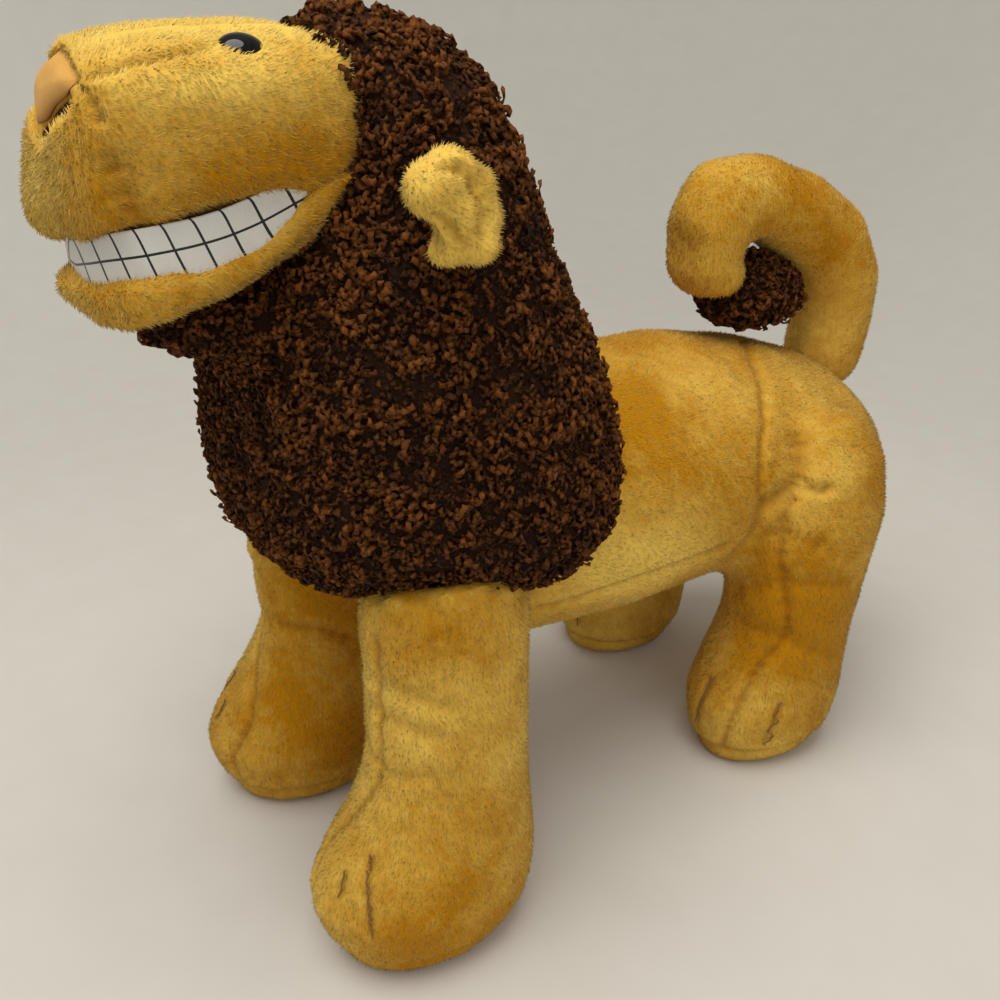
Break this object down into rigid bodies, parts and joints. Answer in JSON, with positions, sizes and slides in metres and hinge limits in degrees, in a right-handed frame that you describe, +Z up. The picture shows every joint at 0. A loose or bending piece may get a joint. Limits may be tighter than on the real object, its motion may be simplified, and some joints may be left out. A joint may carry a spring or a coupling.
{
  "type": "plush lion",
  "caption": "Standing stuffed lion with a golden short-pile body, curly brown mane, toothy grin, floppy ears and a curled, tufted tail that wags on its seam.",
  "frame": {"origin": "centre of the bounding box at floor level, under the middle of the standing lion", "axes": "+Z up, the lion faces -Y, its own left side is +X; symmetric across the YZ plane"},
  "size_m": [0.224, 0.437, 0.389],
  "materials": {
    "golden_plush": "short-pile plush, golden yellow",
    "brown_curls": "curly sherpa pile, dark brown",
    "white_filling": "polyester fibre filling, white",
    "teeth_white": "satin, white with thin black stitched lines",
    "nose_plush": "smooth velour, orange tan",
    "black_plastic": "polished black plastic",
    "washer_plastic": "natural moulded plastic",
    "brown_thread": "brown sewing thread"
  },
  "bodies": {
    "root": {"mane_cover": "brown_curls", "chest_filling": "white_filling", "torso_cover": "golden_plush", "belly_panel": "golden_plush", "hindquarters_cover": "golden_plush", "torso_filling": "white_filling", "face_cover": "golden_plush", "bridge_panel": "golden_plush", "nose_panel": "nose_plush", "head_filling": "white_filling", "lower_lip_cover": "golden_plush", "lower_lip_filling": "white_filling", "teeth_band": "teeth_white", "eye_left": "black_plastic", "eye_right": "black_plastic", "eye_washer_left": "washer_plastic", "eye_washer_right": "washer_plastic", "front_leg_left_cover": "golden_plush", "front_leg_left_filling": "white_filling", "front_leg_left_sole": "golden_plush", "front_leg_left_toe_stitch_inner": "brown_thread", "front_leg_left_toe_stitch_outer": "brown_thread", "front_leg_right_cover": "golden_plush", "front_leg_right_filling": "white_filling", "front_leg_right_sole": "golden_plush", "front_leg_right_toe_stitch_inner": "brown_thread", "front_leg_right_toe_stitch_outer": "brown_thread", "hind_leg_left_cover": "golden_plush", "hind_leg_left_filling": "white_filling", "hind_leg_left_sole": "golden_plush", "hind_leg_left_toe_stitch_inner": "brown_thread", "hind_leg_left_toe_stitch_outer": "brown_thread", "hind_leg_right_cover": "golden_plush", "hind_leg_right_filling": "white_filling", "hind_leg_right_sole": "golden_plush", "hind_leg_right_toe_stitch_inner": "brown_thread", "hind_leg_right_toe_stitch_outer": "brown_thread"},
    "ear_left": {"ear_left": "golden_plush"},
    "ear_right": {"ear_right": "golden_plush"},
    "tail": {"tail_cover": "golden_plush", "tail_filling": "white_filling", "tail_tuft": "brown_curls"}
  },
  "joints": [
    {"name": "ear_left_flop", "type": "hinge", "parent": "root", "child": "ear_left", "pos_m": [0.07904, -0.11447, 0.334], "axis": [0, 0.5736, -0.8191], "range_deg": [-25, 25], "stiffness_Nm_per_rad": 0.05},
    {"name": "ear_right_flop", "type": "hinge", "parent": "root", "child": "ear_right", "pos_m": [-0.07904, -0.11447, 0.334], "axis": [0, -0.5736, 0.8191], "range_deg": [-25, 25], "stiffness_Nm_per_rad": 0.05},
    {"name": "tail_wag", "type": "hinge", "parent": "root", "child": "tail", "pos_m": [0, 0.19253, 0.203], "axis": [0, 1, 0], "range_deg": [-15, 15], "stiffness_Nm_per_rad": 0.8}
  ]
}
